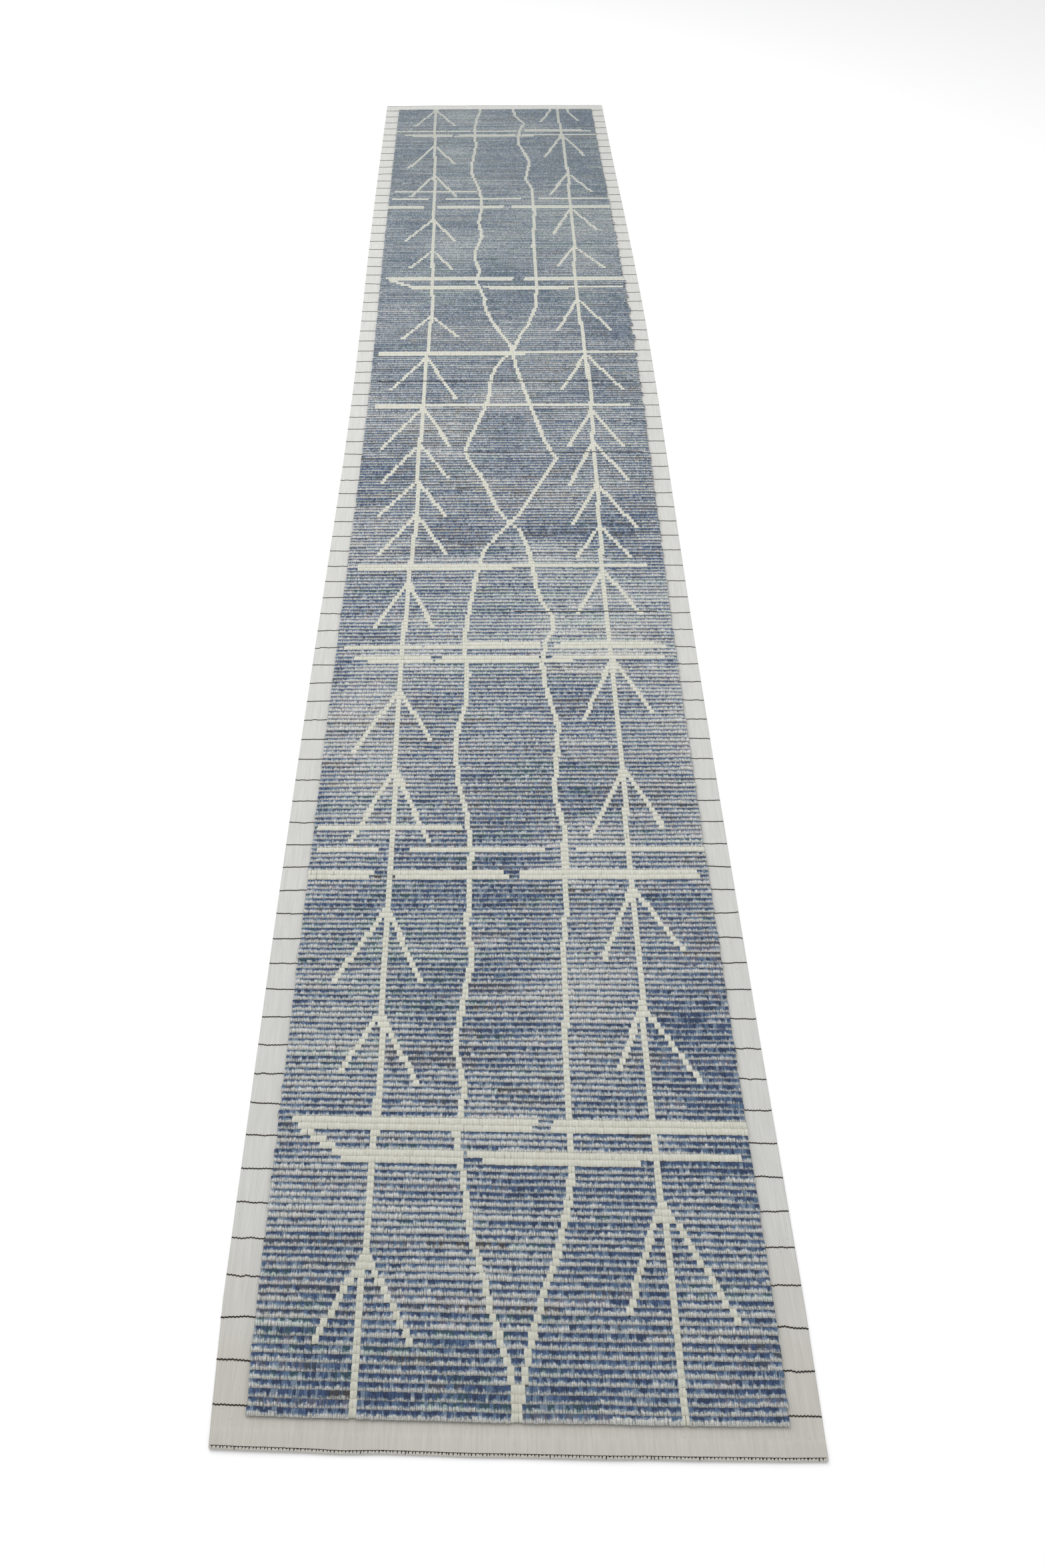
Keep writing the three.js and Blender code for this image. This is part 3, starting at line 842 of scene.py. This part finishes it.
def make_pile():
    """Blender pieces for every CAD pile node, made of the knots that the node covers."""
    owner = knot_nodes()
    pile_right = bow_at(row_top(np.arange(ROWS)))[2]
    more = np.round(pile_right / KNOT).astype(int)
    most = KNOTS_ACROSS + more.max()
    beyond = np.arange(most)[None] - (KNOTS_ACROSS - 1)
    last = np.minimum(np.arange(most), KNOTS_ACROSS - 1)
    owner = np.where(beyond <= more[:, None], owner[:, last], -1)
    reach, lot = dye_lots(most)
    pieces = []
    for number, name in enumerate(PILE_NODES):
        rows, knots = np.nonzero(owner == number)
        if name.startswith("ivory"):
            points, faces, uv = ivory_tufts(rows, knots)
            wool, slot = IVORY, "ivory_pile_wool"
            per_knot = 1
        else:
            points, faces, uv = indigo_tufts(rows, knots, reach[rows, knots], lot[rows, knots])
            wool, slot = INDIGO, "indigo_pile_wool"
            per_knot = STRANDS
        parts = math.ceil(len(points) * len(faces) / MOST_FACES)
        cuts = np.linspace(0, len(rows), parts + 1).astype(int)
        spare = np.repeat(more[rows] * KNOT, per_knot * points.shape[1])
        for part, (start, stop) in enumerate(zip(cuts, cuts[1:]), start=1):
            own = slice(start * per_knot, stop * per_knot)
            flat, all_faces, all_uv = repeat(points[own], faces, uv[own], (stop - start) * per_knot)
            size = points.shape[1] * per_knot
            laid = lie(flat, spare[start * size : stop * size])
            label = name.replace("pile", "knots") + (f"_part_{part}" if parts > 1 else "")
            piece = add_piece(label, laid, all_faces, wool, all_uv)
            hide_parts(name)
            pieces.append(piece)
    return pieces


# ---------------------------------------------------------------- stage, light and camera


def make_stage():
    mesh = bpy.data.meshes.new("floor")
    reach = 12.0
    corners = [(-reach, -reach, 0), (reach, -reach, 0), (reach, reach, 0), (-reach, reach, 0)]
    mesh.from_pydata(corners, [], [(0, 1, 2, 3)])
    floor = bpy.data.objects.new("floor", mesh)
    bpy.context.scene.collection.objects.link(floor)
    paint = bpy.data.materials.new("floor_paint")
    paint.use_nodes = True
    shader = paint.node_tree.nodes["Principled BSDF"]
    shader.inputs["Base Color"].default_value = (0.96, 0.96, 0.97, 1)
    shader.inputs["Roughness"].default_value = 0.9
    shader.inputs["Specular IOR Level"].default_value = 0.0
    mesh.materials.append(paint)
    floor.location.z = -0.0002
    return floor


def add_light(name, at, size, power, aim=(0, 0, 0)):
    data = bpy.data.lights.new(name, "AREA")
    data.shape = "RECTANGLE"
    data.size, data.size_y = size
    data.energy = power
    light = bpy.data.objects.new(name, data)
    light.location = at
    light.rotation_euler = (Vector(aim) - Vector(at)).to_track_quat("-Z", "Y").to_euler()
    bpy.context.scene.collection.objects.link(light)


def make_light():
    world = bpy.data.worlds.new("studio")
    world.use_nodes = True
    background = world.node_tree.nodes["Background"]
    background.inputs["Color"].default_value = (1.0, 1.0, 1.0, 1)
    background.inputs["Strength"].default_value = 0.75
    bpy.context.scene.world = world
    add_light("soft_box", (-1.2, 0.8, 3.6), (3.0, 6.0), 130, (0, 0, 0))
    bpy.context.scene.view_settings.view_transform = "Standard"


def make_camera():
    data = bpy.data.cameras.new("camera")
    data.sensor_width = 36
    data.lens = CAMERA_LENS
    data.shift_x = CAMERA_SHIFT
    data.clip_end = 50
    camera = bpy.data.objects.new("camera", data)
    camera.location = CAMERA_AT
    camera.rotation_euler = [math.radians(angle) for angle in CAMERA_TURN]
    bpy.context.scene.collection.objects.link(camera)
    bpy.context.scene.camera = camera


make_camera()
make_light()
floor = make_stage()
ground = make_ground()
wefts = make_dark_wefts()
near_stitches = make_overcast("overcast_stitches_near", "overcast_thread_near", -1)
far_stitches = make_overcast("overcast_stitches_far", "overcast_thread_far", 1)
pile = make_pile()
